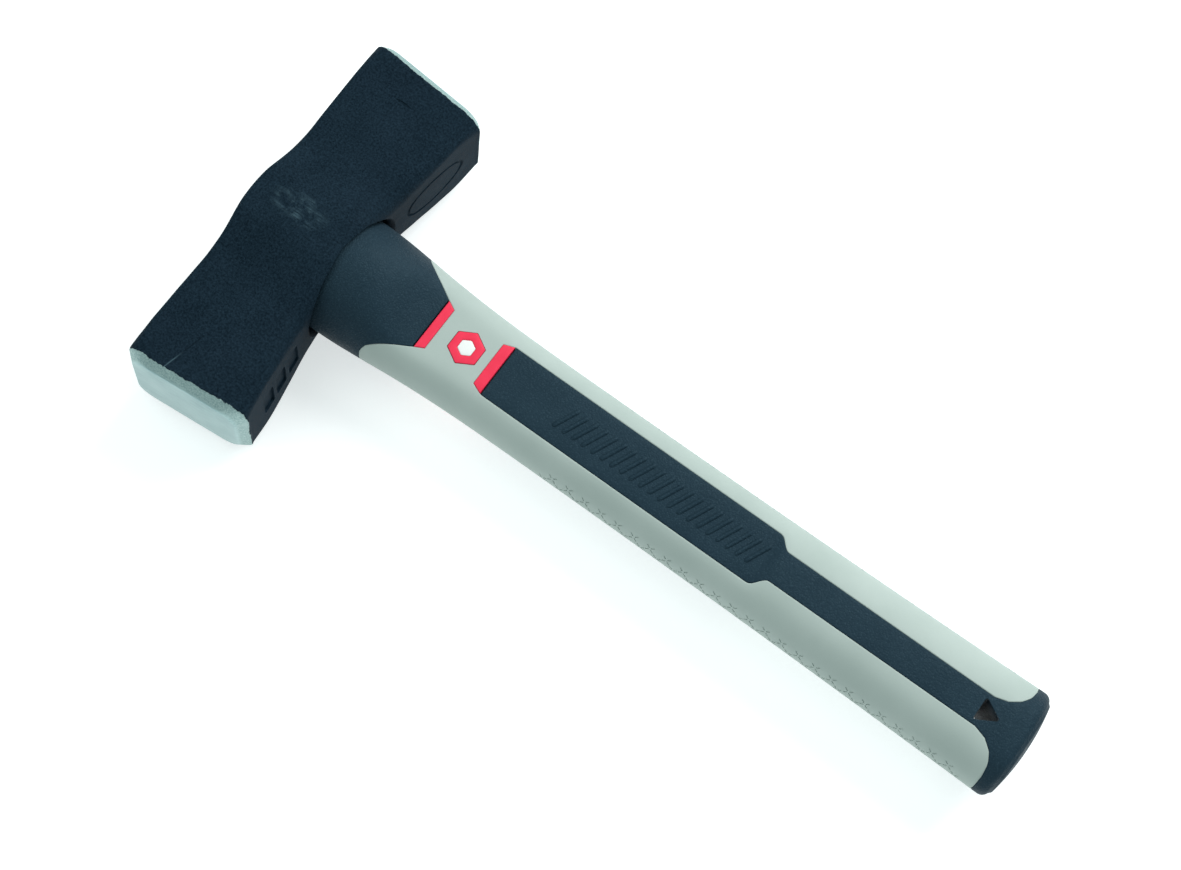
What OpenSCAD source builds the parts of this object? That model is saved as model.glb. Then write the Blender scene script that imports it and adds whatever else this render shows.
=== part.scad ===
// Double-faced club sledgehammer with a forged head and a two-material handle, lying on its side.
// X runs along the handle from the head to the butt, Y along the head, and Z up through the cheeks.
// The origin is under the middle of the whole hammer, at the level of the lower side of the boss.

/* [Head] */
// Length of the head between the middles of its striking faces
head_len = 120; // [112:1:128]
// Distance from the handle axis to the top of the head, at the eye
head_top = 19.9; // [19:0.1:21]
// Depth of each striking face, from the top of the head to the handle side
face_depth = 40; // [38.5:0.5:42]
// Thickness of the head across its flat cheeks
cheek_t = 33; // [31:0.5:36]
// Thickness of the head through the boss round the eye
boss_t = 43; // [41:0.5:46]
// Length of the boss along the head
boss_len = 52; // [48:1:60]
// Width of the flat land along the crest of the boss, on which the hammer lies
boss_land = 12; // [8:2:16]
// Lean of each striking face towards the handle, in degrees
face_lean = 4.7; // [0:0.1:6]
// Width of the ground bevel round each striking face
face_bevel = 2.8; // [1:0.1:4]
// How much is cut off each corner of a face
corner_cut = 3; // [1:0.1:4]
// How far back along the head the corner cuts reach
corner_reach = 10; // [6:1:14]

/* [Eye] */
// Length of the oval eye along the head
eye_len = 31; // [29:0.5:33]
// Width of the oval eye between the cheeks
eye_w = 21; // [19:0.5:22]
// Thickness of the bond between the eye and the tenon
bond_t = 1; // [0.6:0.1:1.4]
// Distance from the handle axis plane of the head to the seat of the collar
seat_x = 14; // [13:0.5:15]
// Radius of the round seat that the collar sits in
seat_r = 19.3; // [19:0.1:20]

/* [Handle] */
// Distance from the middle of the head to the end of the butt
butt_x = 252.4; // [248:0.2:260]
// Half width of the handle across its middle
grip_half = 15.9; // [15.5:0.1:17]
// How much wider each side is at the butt
butt_flare = 1.7; // [0.5:0.1:2]
// Half width of the collar under the head
collar_half = 18.7; // [18:0.1:18.9]
// Thickness of the handle as a share of its width
oval_ratio = 0.71; // [0.68:0.01:0.74]
// Thickness of the soft overmould at the sides of the handle
grip_t = 2; // [1.5:0.1:2.5]

/* [Side panels] */
// Height of the flat on each side above the handle axis, along the wide part of the panel
wide_flat = 9.55; // [9.3:0.05:9.8]
// Height of the flat along the narrow part of the panel
narrow_flat = 10.9; // [10.7:0.05:11]
// Half width of the wide part of the panel
wide_half = 8.8; // [8:0.1:9]
// Half width of the narrow part of the panel
narrow_half = 5.1; // [4.6:0.1:5.4]
// Where the wide part ends, from the middle of the head
step_x = 161; // [150:1:180]

/* [Trim] */
// Distance across the flats of the six-sided badge
badge_flats = 9.6; // [8:0.1:10]
// Distance across the flats of the white inlay in the badge
inlay_flats = 4.6; // [3:0.1:6]
// How far the bars and badges stand above the flat
trim_proud = 0.15; // [0:0.05:0.3]

/* [Core and hanging hole] */
// Width of the glass-fibre core
core_w = 20; // [16:0.5:22]
// Thickness of the glass-fibre core
core_t = 11; // [9:0.5:12]
// Where the core ends, from the middle of the head
core_end = 226; // [200:1:229]
// Distance from the middle of the head to the middle of the hanging hole
hole_x = 236.5; // [236:0.1:237]
// Radius of the circle through the rounded corners of the hanging hole
hole_reach = 4.6; // [3.6:0.1:4.8]

/* [Hidden] */
$fn = 96;

// Where the part's own origin lies, from the middle of the head on the handle axis
origin_x = (butt_x - head_top) / 2;
origin_z = -boss_t / 2;

// Head
half_len = head_len / 2;
boss_rise = (boss_t - cheek_t) / 2;
neck_dip = 1.4;                   // how far the top of the necks lies below the top of the boss
end_flare = 0.9;                  // how far the top spreads again towards the faces
crown_len = boss_len * 0.7;       // length of the crown on top, round the eye
outline_step = 2;                 // spacing of the points along a curved outline
face_top = -(head_top - neck_dip + end_flare);
face_foot = face_top + face_depth;
seat_half = 14;                   // the handle side is flat this far each way from its middle
boss_relief_y = 12;               // the handle-side corners are relieved from here to the faces
relief_y = 21;                    // where that relief is deepest
relief_x = 6;
relief_z = 7;
relief_end = 0.8;                 // depth of the relief at both its ends
rim_relief = 2.4;                 // 45 degree relief round the rim of the boss
tenon_sink = 0.3;
eye_top = top_x(eye_len / 2) + tenon_sink;  // where the tenon, bond and core end, just inside the eye

// Handle
collar_end = 43.8;
collar_nose = 9.3;                // radius at which the round collar runs into the flats
flat_start = 44;
step_len = 5;
butt_zone = 236;
skin_flat_t = 1.6;                // thickness of the overmould over the flats
body_start = 24;
body_end = 246;

// Trim along the handle, from the middle of the head
neck_bar_len = 3.2;
neck_bar_half = 8.9;
panel_x = 68.1;
panel_bar_len = 3.6;
bar_taper = 1.7;                  // how much less the inner edge of a bar reaches to each side
badge_x = 56.6;
inlay_t = 0.5;
pocket_floor = wide_flat - skin_flat_t;

steel = [0.13, 0.15, 0.18];
dark_plastic = [0.12, 0.15, 0.19];
pale_rubber = [0.68, 0.74, 0.72];
red_plastic = [0.86, 0.18, 0.24];
white_plastic = [0.95, 0.95, 0.94];
glass_fibre = [0.80, 0.76, 0.60];
epoxy = [0.55, 0.50, 0.36];

// A smooth hump of the given rise that falls to nothing at half its length
function hump(y, length, rise) =
    abs(y) < length / 2 ? rise * (1 + cos(360 * y / length)) / 2 : 0;

// Top of the head seen from its side, as a distance from the handle axis
function top_x(y) =
    -(head_top - neck_dip) - hump(y, crown_len, neck_dip) - end_flare * pow(abs(y) / half_len, 2);

// Height of the cheek: a smooth hump over the boss, cut off at its flat land
function cheek_z(y) =
    let (full_rise = boss_rise * 2 / (1 + cos(180 * boss_land / boss_len)))
    cheek_t / 2 + min(boss_rise, hump(y, boss_len, full_rise));

// Handle side of the head, which spreads towards the faces
function handle_side_x(y) =
    seat_x + (face_foot - seat_x) * max(abs(y) - seat_half, 0) / (half_len - seat_half);

// Half width of the handle seen from its flat side
function half_w(x) =
    grip_half
    + (collar_half - grip_half) * exp(-pow(max(x - seat_x, 0) / 32, 2))
    + butt_flare * pow(max(x - 100, 0) / (butt_x - 100), 2);

// Puts a child, made about the middle of the head, into the part's own frame
module in_frame() {
    translate([-origin_x, 0, -origin_z]) children();
}

// Both ends of the head, or both sides of the handle
module both_ends() {
    children();
    mirror([0, 1, 0]) children();
}

module both_sides() {
    children();
    mirror([0, 0, 1]) children();
}

// An outline in X and Y made solid right through the hammer
module through_z(height = 60) {
    translate([0, 0, -height / 2]) linear_extrude(height) children();
}

// A bar of oval section along X, with the section's length along Y
module oval_bar(from_x, to_x, length, width) {
    straight = (length - width) / 2;
    translate([from_x, 0, 0]) rotate([90, 0, 90]) linear_extrude(to_x - from_x) union() {
        square([2 * straight, width], center = true);
        for (side = [-1, 1]) translate([side * straight, 0]) circle(d = width);
    }
}

/* Head */

// The head seen along the handle: flat cheeks with the boss between them
module cheek_profile() {
    reach = half_len + 6;
    upper = [for (y = [-boss_len / 2 : outline_step : boss_len / 2]) [y, cheek_z(y)]];
    ends = [[reach, cheek_t / 2], [reach, -cheek_t / 2]];
    lower = [for (i = [len(upper) - 1 : -1 : 0]) [upper[i][0], -upper[i][1]]];
    polygon(concat([[-reach, cheek_t / 2]], upper, ends, lower, [[-reach, -cheek_t / 2]]));
}

// The head seen from a cheek: a crowned top, leaning faces, and a handle side that spreads to them
module head_outline() {
    lean = tan(face_lean);
    top_y = half_len - face_top * lean;
    steps = round(top_y / outline_step);
    top = [for (i = [-steps : steps]) [top_x(i * top_y / steps), i * top_y / steps]];
    foot_y = half_len - face_foot * lean;
    polygon(concat(top, [
        [face_foot, foot_y], [seat_x, seat_half], [seat_x, -seat_half], [face_foot, -foot_y]
    ]));
}

// The bevel along one edge of a face: the edge runs along X, at a height of edge_z
module cheek_bevel(edge_z) {
    side = face_bevel * sqrt(2);
    translate([0, 0, edge_z]) rotate([45, 0, 0]) cube([2 * face_depth, side, side], center = true);
}

module side_bevel(edge_x) {
    side = face_bevel * sqrt(2);
    translate([edge_x, 0, 0]) rotate([0, 0, 45]) cube([side, side, 2 * cheek_t], center = true);
}

// Cuts the upper corner of a face off at a slant; side is 1 at the handle side and -1 at the top
module cut_corner(edge_x, side) {
    across = 1 / corner_cut;
    along = 1 / corner_reach;
    block = 20;
    translate([edge_x, half_len - edge_x * tan(face_lean) - corner_reach, cheek_t / 2])
        rotate([0, atan2(norm([across, along]), across), atan2(along, side * across)])
            translate([-block, -block, 0]) cube([2 * block, 2 * block, block]);
}

// Cuts the four bevels of the face at the +Y end
module face_bevels() {
    slant = 1 / cos(face_lean);
    translate([0, half_len, 0]) rotate([0, 0, -face_lean]) {
        both_sides() cheek_bevel(cheek_t / 2);
        side_bevel(face_foot * slant);
        side_bevel(face_top * slant);
    }
}

// The wedge taken off the corner between a cheek and the handle side, deepest beside the boss
module corner_relief() {
    over = 3;
    cheek = cheek_t / 2;
    stations = [
        [boss_relief_y, relief_end, relief_end], [relief_y, relief_x, relief_z],
        [half_len + 4, relief_end, relief_end]
    ];
    corners = [for (s = stations) each [
        [handle_side_x(s[0]) + over, s[0], cheek - s[2] - over * s[2] / s[1]],
        [handle_side_x(s[0]) + over, s[0], cheek + over],
        [handle_side_x(s[0]) - s[1] - over * s[1] / s[2], s[0], cheek + over]
    ]];
    rings = [for (i = [0 : 3 : 3]) each [
        [i + 1, i + 4, i + 3, i], [i + 2, i + 5, i + 4, i + 1], [i, i + 3, i + 5, i + 2]
    ]];
    polyhedron(corners, concat([[2, 1, 0]], rings, [[6, 7, 8]]));
}

// Takes the rim off the boss, above and below the round seat
module boss_rim_relief() {
    outer = seat_r + 12;
    intersection() {
        translate([seat_x - rim_relief, 0, 0]) rotate([0, 90, 0]) difference() {
            cylinder(h = rim_relief + 6, r = outer);
            translate([0, 0, -0.1]) cylinder(h = rim_relief + 0.1, r1 = seat_r + rim_relief, r2 = seat_r);
            cylinder(h = rim_relief + 7, r = seat_r);
        }
        both_sides() translate([0, -relief_y, cheek_t / 2 - relief_z]) cube([30, 2 * relief_y, 30]);
    }
}

module hammer_head() {
    color(steel) in_frame() difference() {
        intersection() {
            through_z() head_outline();
            translate([-30, 0, 0]) rotate([90, 0, 90]) linear_extrude(60) cheek_profile();
        }
        oval_bar(-30, 30, eye_len, eye_w);
        translate([seat_x, 0, 0]) rotate([0, 90, 0]) cylinder(h = 20, r = seat_r);
        boss_rim_relief();
        both_ends() {
            face_bevels();
            both_sides() {
                corner_relief();
                cut_corner(face_foot, 1);
                cut_corner(face_top, -1);
            }
        }
    }
}

/* Inside the eye */

module eye_bond() {
    color(epoxy) in_frame() difference() {
        oval_bar(eye_top, seat_x, eye_len, eye_w);
        oval_bar(eye_top - 1, seat_x + 1, eye_len - 2 * bond_t, eye_w - 2 * bond_t);
    }
}

module fibre_core() {
    color(glass_fibre) in_frame() oval_bar(eye_top, core_end, core_w, core_t);
}

/* Handle */

// The handle as turned, then flattened to an oval
module oval_body(from_x, to_x, inset) {
    stations = [for (i = [0 : 12]) from_x + (to_x - from_x) * i / 12];
    sides = [for (x = stations) [half_w(x) - inset, x]];
    scale([1, 1, oval_ratio]) rotate([0, 90, 0]) rotate_extrude()
        polygon(concat([[0, from_x]], sides, [[0, to_x]]));
}

// The butt: a shallow dome with a rounded rim
module oval_butt(from_x) {
    rim = 2.6;
    rim_r = half_w(butt_x);
    dome = 2.1;
    scale([1, 1, oval_ratio]) rotate([0, 90, 0]) rotate_extrude() polygon(concat(
        [[0, from_x], [half_w(from_x), from_x]],
        [for (a = [0 : 22.5 : 67.5])
            [rim_r - rim * (1 - cos(a)), butt_x - dome - rim * (1 - sin(a))]],
        [[rim_r * 0.75, butt_x - dome * 0.56], [rim_r * 0.4, butt_x - dome * 0.16], [0, butt_x]]
    ));
}

// The slab that leaves a flat along each side of the handle, lower_by under the finished surface
module flats(lower_by) {
    tall = 20;
    edge = [
        [0, tall], [36, tall], [flat_start, wide_flat - lower_by], [step_x, wide_flat - lower_by],
        [step_x + step_len, narrow_flat - lower_by], [butt_x + 10, narrow_flat + 0.6 - lower_by]
    ];
    rotate([90, 0, 0]) through_z() polygon(concat(
        edge, [for (i = [len(edge) - 1 : -1 : 0]) [edge[i][0], -edge[i][1]]]
    ));
}

// The round collar that closes the eye and falls away to the flats
module round_collar() {
    translate([seat_x, 0, 0]) rotate([0, 90, 0])
        cylinder(h = flat_start - seat_x, r1 = collar_half, r2 = collar_nose);
}

// The whole outside of the handle, from the seat to the butt
module handle_outside() {
    union() {
        round_collar();
        intersection() {
            union() {
                oval_body(seat_x, body_end, 0);
                oval_butt(body_end);
            }
            flats(0);
        }
    }
}

// The hard body that the soft overmould covers
module hard_body() {
    intersection() {
        oval_body(body_start, body_end + 1, grip_t);
        flats(skin_flat_t);
    }
}

// Where the hard plastic comes to the surface, seen from the flat side
module collar_outline() {
    sides = [[collar_end, neck_bar_half], [35.3, 14], [32.3, 16], [31, 22]];
    polygon(concat(
        [[0, 22], [0, -22]],
        [for (i = [3 : -1 : 0]) [sides[i][0], -sides[i][1]]],
        sides
    ));
}

module panel_outline() {
    sides = [
        [panel_x, wide_half], [step_x, wide_half],
        for (i = [1 : 5]) [
            step_x + step_len * i / 6,
            narrow_half + (wide_half - narrow_half) * (1 + cos(30 * i)) / 2
        ],
        [step_x + step_len, narrow_half], [butt_zone, narrow_half],
        [240, 6.3], [243, 8.6], [244.8, 11.4], [245.5, 15], [245.5, 22], [270, 22]
    ];
    polygon(concat(sides, [for (i = [len(sides) - 1 : -1 : 0]) [sides[i][0], -sides[i][1]]]));
}

// A bar across the flat: its wide edge lies at wide_x and its narrow edge at narrow_x
module bar_outline(wide_x, narrow_x, half) {
    polygon([
        [wide_x, half], [narrow_x, half - bar_taper], [narrow_x, -(half - bar_taper)], [wide_x, -half]
    ]);
}

module neck_bar_outline() {
    bar_outline(collar_end, collar_end + neck_bar_len, neck_bar_half);
}

module panel_bar_outline() {
    bar_outline(panel_x, panel_x - panel_bar_len, wide_half);
}

module hexagon(flats_w) {
    rotate([0, 0, 30]) circle(d = flats_w / cos(30), $fn = 6);
}

module badge_outline(flats_w) {
    translate([badge_x, 0]) hexagon(flats_w);
}

module hanging_hole_outline() {
    hull() for (a = [0, 120, 240])
        translate([hole_x, 0] + (hole_reach - 0.6) * [cos(a), sin(a)]) circle(r = 0.6, $fn = 24);
}

module handle_jacket() {
    color(dark_plastic) in_frame() difference() {
        union() {
            intersection() {
                handle_outside();
                through_z() union() {
                    collar_outline();
                    panel_outline();
                }
            }
            hard_body();
            oval_bar(eye_top, body_start, eye_len - 2 * bond_t, eye_w - 2 * bond_t);
        }
        oval_bar(eye_top - 1, core_end, core_w, core_t);
        through_z() hanging_hole_outline();
    }
}

module soft_grip() {
    color(pale_rubber) in_frame() difference() {
        handle_outside();
        hard_body();
        through_z() {
            collar_outline();
            panel_outline();
            neck_bar_outline();
            panel_bar_outline();
            badge_outline(badge_flats);
        }
    }
}

/* Trim in the windows of the grip */

// An outline made solid from the hard body to just above the flat, on the upper side
module trim_plate() {
    translate([0, 0, pocket_floor]) linear_extrude(skin_flat_t + trim_proud) children();
}

module on_side(side) {
    in_frame() mirror([0, 0, side == "rear" ? 1 : 0]) children();
}

module neck_bar(side) {
    color(red_plastic) on_side(side) trim_plate() neck_bar_outline();
}

module panel_bar(side) {
    color(red_plastic) on_side(side) trim_plate() panel_bar_outline();
}

module badge(side) {
    color(red_plastic) on_side(side) difference() {
        trim_plate() badge_outline(badge_flats);
        translate([0, 0, wide_flat + trim_proud - inlay_t])
            linear_extrude(inlay_t + 1) badge_outline(inlay_flats);
    }
}

module badge_inlay(side) {
    color(white_plastic) on_side(side) translate([0, 0, wide_flat + trim_proud - inlay_t])
        linear_extrude(inlay_t) badge_outline(inlay_flats);
}

hammer_head();
eye_bond();
fibre_core();
handle_jacket();
soft_grip();
neck_bar("front");  // neck_bar_front
neck_bar("rear");  // neck_bar_rear
panel_bar("front");  // panel_bar_front
panel_bar("rear");  // panel_bar_rear
badge("front");  // badge_front
badge("rear");  // badge_rear
badge_inlay("front");  // badge_inlay_front
badge_inlay("rear");  // badge_inlay_rear
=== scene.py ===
import math

import bpy
import numpy as np
from mathutils import Matrix, Vector, noise
from mathutils.kdtree import KDTree


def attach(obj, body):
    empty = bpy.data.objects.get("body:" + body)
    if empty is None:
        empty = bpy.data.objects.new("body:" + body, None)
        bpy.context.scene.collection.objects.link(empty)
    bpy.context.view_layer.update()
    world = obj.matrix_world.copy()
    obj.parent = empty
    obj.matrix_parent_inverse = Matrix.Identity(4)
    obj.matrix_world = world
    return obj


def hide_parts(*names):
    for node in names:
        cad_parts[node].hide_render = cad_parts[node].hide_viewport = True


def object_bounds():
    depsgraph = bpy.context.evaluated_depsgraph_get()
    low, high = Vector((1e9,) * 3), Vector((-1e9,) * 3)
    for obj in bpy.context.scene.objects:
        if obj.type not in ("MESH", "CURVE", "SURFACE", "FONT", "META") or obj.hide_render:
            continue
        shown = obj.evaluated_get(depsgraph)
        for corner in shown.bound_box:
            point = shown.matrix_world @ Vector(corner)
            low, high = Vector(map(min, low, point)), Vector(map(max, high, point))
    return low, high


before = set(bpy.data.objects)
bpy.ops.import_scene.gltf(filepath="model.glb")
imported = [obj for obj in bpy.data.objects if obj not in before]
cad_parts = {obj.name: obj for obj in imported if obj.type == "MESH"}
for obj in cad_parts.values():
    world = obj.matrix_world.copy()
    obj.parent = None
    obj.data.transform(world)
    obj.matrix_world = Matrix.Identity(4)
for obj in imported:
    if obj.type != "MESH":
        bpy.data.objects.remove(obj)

loadedLow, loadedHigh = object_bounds()
scene = bpy.context.scene
mm = 0.001

# Everything is worked out in millimetres from the middle of the head, on the handle's axis:
# x along the handle, y along the head, z up. toFrame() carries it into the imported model.
buttReach = 252.4
headX = loadedHigh.x / mm - buttReach
axisZ = (loadedLow.z + loadedHigh.z) / 2 / mm

# The head reaches this far each way on the handle's axis, and less at its handle side
halfLength = 60
faceLean = 0.0822


def toFrame(points):
    return (np.asarray(points, float) + (headX, 0, axisZ)) * mm


def addMesh(name, points, faces):
    mesh = bpy.data.meshes.new(name)
    mesh.from_pydata([tuple(p) for p in toFrame(points)], [], [tuple(f) for f in faces])
    mesh.validate()
    piece = bpy.data.objects.new(name, mesh)
    scene.collection.objects.link(piece)
    return piece


def bakeDown(piece):
    graph = bpy.context.evaluated_depsgraph_get()
    mesh = bpy.data.meshes.new_from_object(piece.evaluated_get(graph))
    piece.modifiers.clear()
    old = piece.data
    piece.data = mesh
    bpy.data.meshes.remove(old)
    return piece


def carve(piece, cutter):
    cut = piece.modifiers.new("cut", "BOOLEAN")
    cut.operation = "DIFFERENCE"
    cut.solver = "MANIFOLD"
    cut.object = cutter
    before = len(piece.data.polygons)
    bakeDown(piece)
    print("  carve", piece.name, cutter.name, before, "->", len(piece.data.polygons))
    bpy.data.objects.remove(cutter)
    return piece


def finishPiece(piece, material, slot, *nodes, sharpAngle=40):
    mesh = piece.data
    mesh.name = piece.name
    mesh.materials.clear()
    mesh.materials.append(material)
    for polygon in mesh.polygons:
        polygon.material_index = 0
    mesh.shade_smooth()
    mesh.set_sharp_from_angle(angle=math.radians(sharpAngle))
    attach(piece, "root")
    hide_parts(*nodes)
    print("made", piece.name, len(mesh.polygons), "faces")
    return piece


def smoothStep(x, start, end):
    t = np.clip((x - start) / (end - start), 0, 1)
    return t * t * (3 - 2 * t)


def hump(y, length, rise):
    inside = np.abs(y) < length / 2
    return np.where(inside, rise * (1 + np.cos(2 * np.pi * y / length)) / 2, 0)


def softMin(a, b, hardness):
    return -np.log(np.exp(-hardness * a) + np.exp(-hardness * b)) / hardness


# The camera, the lights and the floor

camera = {
    "place": (0.0679963, -0.1994676, 0.7317881),
    "right": (0.81226, 0.57933, 0.06788),
    "up": (-0.57200, 0.76834, 0.28719),
    "lens": 78.249,
    "sensor": 36,
}


def makeCamera():
    data = bpy.data.cameras.new("camera")
    data.lens = camera["lens"]
    data.sensor_width = camera["sensor"]
    data.sensor_fit = "HORIZONTAL"
    data.clip_start = 0.01
    right = Vector(camera["right"]).normalized()
    back = right.cross(Vector(camera["up"])).normalized()
    turn = Matrix((right, back.cross(right), back)).transposed()
    eye = bpy.data.objects.new("camera", data)
    eye.matrix_world = Matrix.Translation(camera["place"]) @ turn.to_4x4()
    scene.collection.objects.link(eye)
    scene.camera = eye


studio = {
    "floorTint": (0.74, 0.75, 0.75),
    "floorGlow": 0.60,      # lights the floor a little from within, so that shadows stay faint
    "skyTint": (0.80, 0.98, 0.99),
    "skyStrength": 0.46,
    "keyTint": (0.98, 0.98, 0.98),
    "keyPlace": (0.15, 0.75, 0.75),
    "keySize": 0.7,
    "keyPower": 9.2,
    "fillPlace": (-0.50, -0.20, 0.9),
    "fillSize": 0.8,
    "fillPower": 2.4,
    "lampAim": (0, 0, 0.02),
    "floorReach": 3,
    "floorRough": 0.9,
    "floorShine": 0.1,
    "glowTint": (0.97, 1, 1),
}


def makeAreaLight(name, place, size, power):
    data = bpy.data.lights.new(name, "AREA")
    data.shape = "SQUARE"
    data.size = size
    data.energy = power
    data.color = studio["keyTint"]
    lamp = bpy.data.objects.new(name, data)
    lamp.location = place
    lamp.rotation_euler = (Vector(studio["lampAim"]) - Vector(place)).to_track_quat("-Z", "Y").to_euler()
    scene.collection.objects.link(lamp)


def makeLights():
    world = bpy.data.worlds.new("studio")
    world.use_nodes = True
    sky = world.node_tree.nodes["Background"]
    sky.inputs["Color"].default_value = (*studio["skyTint"], 1)
    sky.inputs["Strength"].default_value = studio["skyStrength"]
    scene.world = world
    scene.view_settings.view_transform = "Standard"
    makeAreaLight("keyLight", studio["keyPlace"], studio["keySize"], studio["keyPower"])
    makeAreaLight("fillLight", studio["fillPlace"], studio["fillSize"], studio["fillPower"])


def makeFloor():
    reach, level = studio["floorReach"], loadedLow.z
    corners = [(-reach, -reach), (reach, -reach), (reach, reach), (-reach, reach)]
    mesh = bpy.data.meshes.new("floor")
    mesh.from_pydata([(x, y, level) for x, y in corners], [], [(0, 1, 2, 3)])
    floor = bpy.data.objects.new("floor", mesh)
    scene.collection.objects.link(floor)
    paper = bpy.data.materials.new("paleFloor")
    paper.use_nodes = True
    skin = paper.node_tree.nodes["Principled BSDF"]
    skin.inputs["Base Color"].default_value = (*studio["floorTint"], 1)
    skin.inputs["Roughness"].default_value = studio["floorRough"]
    skin.inputs["Specular IOR Level"].default_value = studio["floorShine"]
    skin.inputs["Emission Color"].default_value = (*studio["glowTint"], 1)
    skin.inputs["Emission Strength"].default_value = studio["floorGlow"]
    mesh.materials.append(paper)


makeCamera()
makeLights()
makeFloor()
print("camera, light and floor")


# The materials, measured in millimetres on Object coordinates

class Recipe:
    def __init__(self, name):
        self.material = bpy.data.materials.new(name)
        self.material.use_nodes = True
        self.tree = self.material.node_tree
        self.skin = self.tree.nodes["Principled BSDF"]
        place = self.tree.nodes.new("ShaderNodeTexCoord")
        scaled = self.tree.nodes.new("ShaderNodeVectorMath")
        scaled.operation = "SCALE"
        scaled.inputs["Scale"].default_value = 1 / mm
        self.tree.links.new(place.outputs["Object"], scaled.inputs[0])
        self.place = scaled.outputs["Vector"]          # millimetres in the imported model's frame

    def join(self, source, target):
        if isinstance(source, bpy.types.NodeSocket):
            self.tree.links.new(source, target)
        else:
            target.default_value = source

    def math(self, operation, *values, clamp=False):
        node = self.tree.nodes.new("ShaderNodeMath")
        node.operation = operation
        node.use_clamp = clamp
        for value, target in zip(values, node.inputs):
            self.join(value, target)
        return node.outputs["Value"]

    def stretched(self, scale):
        node = self.tree.nodes.new("ShaderNodeMapping")
        node.inputs["Scale"].default_value = scale
        self.tree.links.new(self.place, node.inputs["Vector"])
        return node.outputs["Vector"]

    def axes(self):
        node = self.tree.nodes.new("ShaderNodeSeparateXYZ")
        self.tree.links.new(self.place, node.inputs["Vector"])
        return node.outputs

    def grain(self, size, detail=3, rough=0.5, vector=None):
        node = self.tree.nodes.new("ShaderNodeTexNoise")
        node.inputs["Scale"].default_value = 1 / size
        node.inputs["Detail"].default_value = detail
        node.inputs["Roughness"].default_value = rough
        self.tree.links.new(vector or self.place, node.inputs["Vector"])
        return node.outputs["Fac"]

    def cells(self, size):
        node = self.tree.nodes.new("ShaderNodeTexVoronoi")
        node.feature = "SMOOTH_F1"
        node.inputs["Scale"].default_value = 1 / size
        self.tree.links.new(self.place, node.inputs["Vector"])
        return node.outputs["Distance"]

    def ramp(self, value, low, high, toLow=0.0, toHigh=1.0):
        node = self.tree.nodes.new("ShaderNodeMapRange")
        for name, number in zip(("From Min", "From Max", "To Min", "To Max"), (low, high, toLow, toHigh)):
            node.inputs[name].default_value = number
        self.join(value, node.inputs["Value"])
        return node.outputs["Result"]

    def tint(self, share, first, second):
        node = self.tree.nodes.new("ShaderNodeMix")
        node.data_type = "RGBA"
        self.join(share, node.inputs["Factor"])
        self.join((*first, 1) if isinstance(first, tuple) else first, node.inputs[6])
        self.join((*second, 1) if isinstance(second, tuple) else second, node.inputs[7])
        return node.outputs[2]

    def bump(self, height, distance, strength=1.0, under=None):
        node = self.tree.nodes.new("ShaderNodeBump")
        node.inputs["Distance"].default_value = distance * mm
        node.inputs["Strength"].default_value = strength
        self.join(height, node.inputs["Height"])
        if under is not None:
            self.tree.links.new(under, node.inputs["Normal"])
        return node.outputs["Normal"]

    def give(self, **inputs):
        names = {"color": "Base Color", "roughness": "Roughness", "metallic": "Metallic",
                 "normal": "Normal", "specular": "Specular IOR Level", "sheenTint": "Specular Tint"}
        for name, value in inputs.items():
            self.join((*value, 1) if isinstance(value, tuple) else value, self.skin.inputs[names[name]])
        return self.material


headFinish = {
    "paint": (0.0034, 0.0098, 0.0165),
    "paintLight": (0.0155, 0.0320, 0.0485),
    "steel": (0.37, 0.51, 0.50),
    "steelDark": (0.24, 0.36, 0.37),
    "bevelSteel": (0.42, 0.55, 0.53),
    "steelHighlight": (0.50, 0.63, 0.62),
    "bevelDark": (0.24, 0.35, 0.35),
    "seam": (0.002, 0.006, 0.010),
    "scuffed": (0.075, 0.130, 0.160),
    "bareMinus": 3.2,       # how far the bare steel reaches back along the head at each end
    "barePlus": 2.3,
    "scuffMiddle": (-4.5, 2.0),
    "scuffReach": (10.5, 5.5),
    "scratchLine": (0.24, 6.7),         # x along the scratch is the first times y plus the second
    "scratchFades": (-50.5, -54.5),
    "seamFades": (-41.0, -46.0),
    "cheekFrom": 14.5,
    "mottle": 0.62,
    "shine": 0.025,
}


def endDepth(r, x, y):
    face = r.math("SUBTRACT", halfLength, r.math("MULTIPLY", x, faceLean))
    return r.math("SUBTRACT", face, r.math("ABSOLUTE", y))


def bareShare(r, y, depth):
    chips = r.math("ADD", r.ramp(r.grain(7, 2), 0.3, 0.7, -0.30, 0.30),
                   r.ramp(r.grain(1.1, 3, 0.6), 0.3, 0.7, -0.20, 0.20))
    bareDepth = r.ramp(y, -1.0, 1.0, headFinish["bareMinus"], headFinish["barePlus"])
    edge = r.math("SUBTRACT", r.math("ADD", depth, chips), bareDepth)
    return r.ramp(edge, 0.07, -0.07)


# Scuffs over the crest of the boss
def scuffShare(r, x, y):
    middle, reach = headFinish["scuffMiddle"], headFinish["scuffReach"]
    across = r.math("DIVIDE", r.math("SUBTRACT", x, middle[0]), reach[0])
    along = r.math("DIVIDE", r.math("SUBTRACT", y, middle[1]), reach[1])
    patch = r.math("ADD", r.math("POWER", across, 2.0), r.math("POWER", along, 2.0))
    streaks = r.grain(0.55, 4, 0.6, r.stretched((0.10, 1.0, 0.15)))
    smudge = r.math("MULTIPLY", r.ramp(r.grain(3.4, 3, 0.6), 0.42, 0.66), r.ramp(streaks, 0.34, 0.72))
    return r.math("MULTIPLY", r.ramp(patch, 1.0, 0.15), smudge)


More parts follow.
